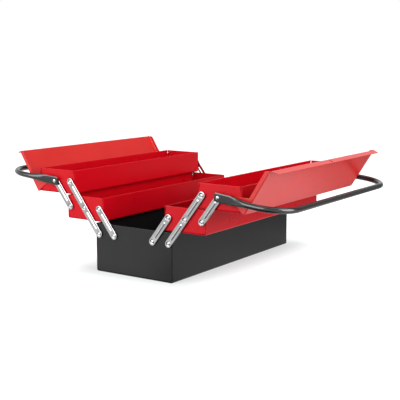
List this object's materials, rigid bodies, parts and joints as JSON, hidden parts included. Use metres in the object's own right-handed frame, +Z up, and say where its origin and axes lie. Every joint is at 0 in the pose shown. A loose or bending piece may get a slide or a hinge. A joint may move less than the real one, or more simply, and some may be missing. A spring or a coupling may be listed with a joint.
{
  "type": "cantilever tool box",
  "caption": "Folded steel cantilever tool box, standing open: base, four stepped trays on pressed links, two hinged lids with padlock lips, two tube handles.",
  "frame": {"origin": "centre of the base's footprint, on the surface it stands on", "axes": "+X along the box towards its right end seen from the front, -Y towards the front, +Z up"},
  "size_m": [0.504, 0.7214, 0.2434],
  "materials": {
    "red_enamel": "gloss red enamel",
    "black_enamel": "satin black enamel",
    "handle_enamel": "satin black enamel on steel tube",
    "zinc_plate": "bright zinc plated steel"
  },
  "bodies": {
    "base": {"base_trough": "black_enamel", "base_end_left": "black_enamel", "base_end_right": "black_enamel", "base_rivets": "zinc_plate"},
    "front_long_links": {"front_long_link_left": "zinc_plate", "front_long_link_right": "zinc_plate"},
    "front_lower_links": {"front_lower_link_left": "zinc_plate", "front_lower_link_right": "zinc_plate"},
    "front_lower_tray": {"front_lower_tray_trough": "red_enamel", "front_lower_tray_end_left": "red_enamel", "front_lower_tray_end_right": "red_enamel", "front_lower_tray_rivets": "zinc_plate"},
    "front_upper_links": {"front_upper_link_left": "zinc_plate", "front_upper_link_right": "zinc_plate"},
    "front_upper_tray": {"front_upper_tray_trough": "red_enamel", "front_upper_tray_end_left": "red_enamel", "front_upper_tray_end_right": "red_enamel", "front_upper_tray_rivets": "zinc_plate", "front_handle_rivets": "zinc_plate", "front_lid_rivets": "zinc_plate"},
    "front_lid": {"front_lid": "red_enamel"},
    "front_handle": {"front_handle": "handle_enamel"},
    "rear_long_links": {"rear_long_link_left": "zinc_plate", "rear_long_link_right": "zinc_plate"},
    "rear_lower_links": {"rear_lower_link_left": "zinc_plate", "rear_lower_link_right": "zinc_plate"},
    "rear_lower_tray": {"rear_lower_tray_trough": "red_enamel", "rear_lower_tray_end_left": "red_enamel", "rear_lower_tray_end_right": "red_enamel", "rear_lower_tray_rivets": "zinc_plate"},
    "rear_upper_links": {"rear_upper_link_left": "zinc_plate", "rear_upper_link_right": "zinc_plate"},
    "rear_upper_tray": {"rear_upper_tray_trough": "red_enamel", "rear_upper_tray_end_left": "red_enamel", "rear_upper_tray_end_right": "red_enamel", "rear_upper_tray_rivets": "zinc_plate", "rear_handle_rivets": "zinc_plate", "rear_lid_rivets": "zinc_plate"},
    "rear_lid": {"rear_lid": "red_enamel"},
    "rear_handle": {"rear_handle": "handle_enamel"}
  },
  "joints": [
    {"name": "front_swing", "type": "hinge", "parent": "base", "child": "front_long_links", "pos_m": [0, -0.091, 0.0805], "axis": [-1, 0, 0], "range_deg": [0, 74.61]},
    {"name": "front_lower_link_turn", "type": "hinge", "parent": "base", "child": "front_lower_links", "pos_m": [0, -0.0505, 0.0805], "axis": [-1, 0, 0], "range_deg": [0, 74.61]},
    {"name": "front_lower_tray_turn", "type": "hinge", "parent": "front_long_links", "child": "front_lower_tray", "pos_m": [0, -0.131, 0.133], "axis": [-1, 0, 0], "range_deg": [-74.61, 0]},
    {"name": "front_upper_tray_turn", "type": "hinge", "parent": "front_long_links", "child": "front_upper_tray", "pos_m": [0, -0.171, 0.1855], "axis": [-1, 0, 0], "range_deg": [-74.61, 0]},
    {"name": "front_upper_link_turn", "type": "hinge", "parent": "front_lower_tray", "child": "front_upper_links", "pos_m": [0, -0.1715, 0.133], "axis": [-1, 0, 0], "range_deg": [0, 74.61]},
    {"name": "front_handle_lift", "type": "hinge", "parent": "front_upper_tray", "child": "front_handle", "pos_m": [0, -0.2115, 0.1855], "axis": [-1, 0, 0], "range_deg": [0, 114.72]},
    {"name": "front_lid_shut", "type": "hinge", "parent": "front_upper_tray", "child": "front_lid", "pos_m": [0, -0.2465, 0.182], "axis": [-1, 0, 0], "range_deg": [0, 112.01]},
    {"name": "rear_swing", "type": "hinge", "parent": "base", "child": "rear_long_links", "pos_m": [0, 0.091, 0.0805], "axis": [1, 0, 0], "range_deg": [0, 74.61]},
    {"name": "rear_lower_link_turn", "type": "hinge", "parent": "base", "child": "rear_lower_links", "pos_m": [0, 0.0505, 0.0805], "axis": [1, 0, 0], "range_deg": [0, 74.61]},
    {"name": "rear_lower_tray_turn", "type": "hinge", "parent": "rear_long_links", "child": "rear_lower_tray", "pos_m": [0, 0.131, 0.133], "axis": [1, 0, 0], "range_deg": [-74.61, 0]},
    {"name": "rear_upper_tray_turn", "type": "hinge", "parent": "rear_long_links", "child": "rear_upper_tray", "pos_m": [0, 0.171, 0.1855], "axis": [1, 0, 0], "range_deg": [-74.61, 0]},
    {"name": "rear_upper_link_turn", "type": "hinge", "parent": "rear_lower_tray", "child": "rear_upper_links", "pos_m": [0, 0.1715, 0.133], "axis": [1, 0, 0], "range_deg": [0, 74.61]},
    {"name": "rear_handle_lift", "type": "hinge", "parent": "rear_upper_tray", "child": "rear_handle", "pos_m": [0, 0.2115, 0.1855], "axis": [1, 0, 0], "range_deg": [0, 102.82]},
    {"name": "rear_lid_shut", "type": "hinge", "parent": "rear_upper_tray", "child": "rear_lid", "pos_m": [0, 0.2465, 0.182], "axis": [1, 0, 0], "range_deg": [0, 112.01]}
  ],
  "couplings": [
    {"joint": "front_lower_link_turn", "follows": "front_swing", "ratio": 1},
    {"joint": "front_lower_tray_turn", "follows": "front_swing", "ratio": -1},
    {"joint": "front_upper_tray_turn", "follows": "front_swing", "ratio": -1},
    {"joint": "front_upper_link_turn", "follows": "front_swing", "ratio": 1},
    {"joint": "front_lid_shut", "follows": "front_handle_lift", "ratio": 0.97629},
    {"joint": "rear_lower_link_turn", "follows": "rear_swing", "ratio": 1},
    {"joint": "rear_lower_tray_turn", "follows": "rear_swing", "ratio": -1},
    {"joint": "rear_upper_tray_turn", "follows": "rear_swing", "ratio": -1},
    {"joint": "rear_upper_link_turn", "follows": "rear_swing", "ratio": 1},
    {"joint": "rear_lid_shut", "follows": "rear_handle_lift", "ratio": 1.0893}
  ]
}
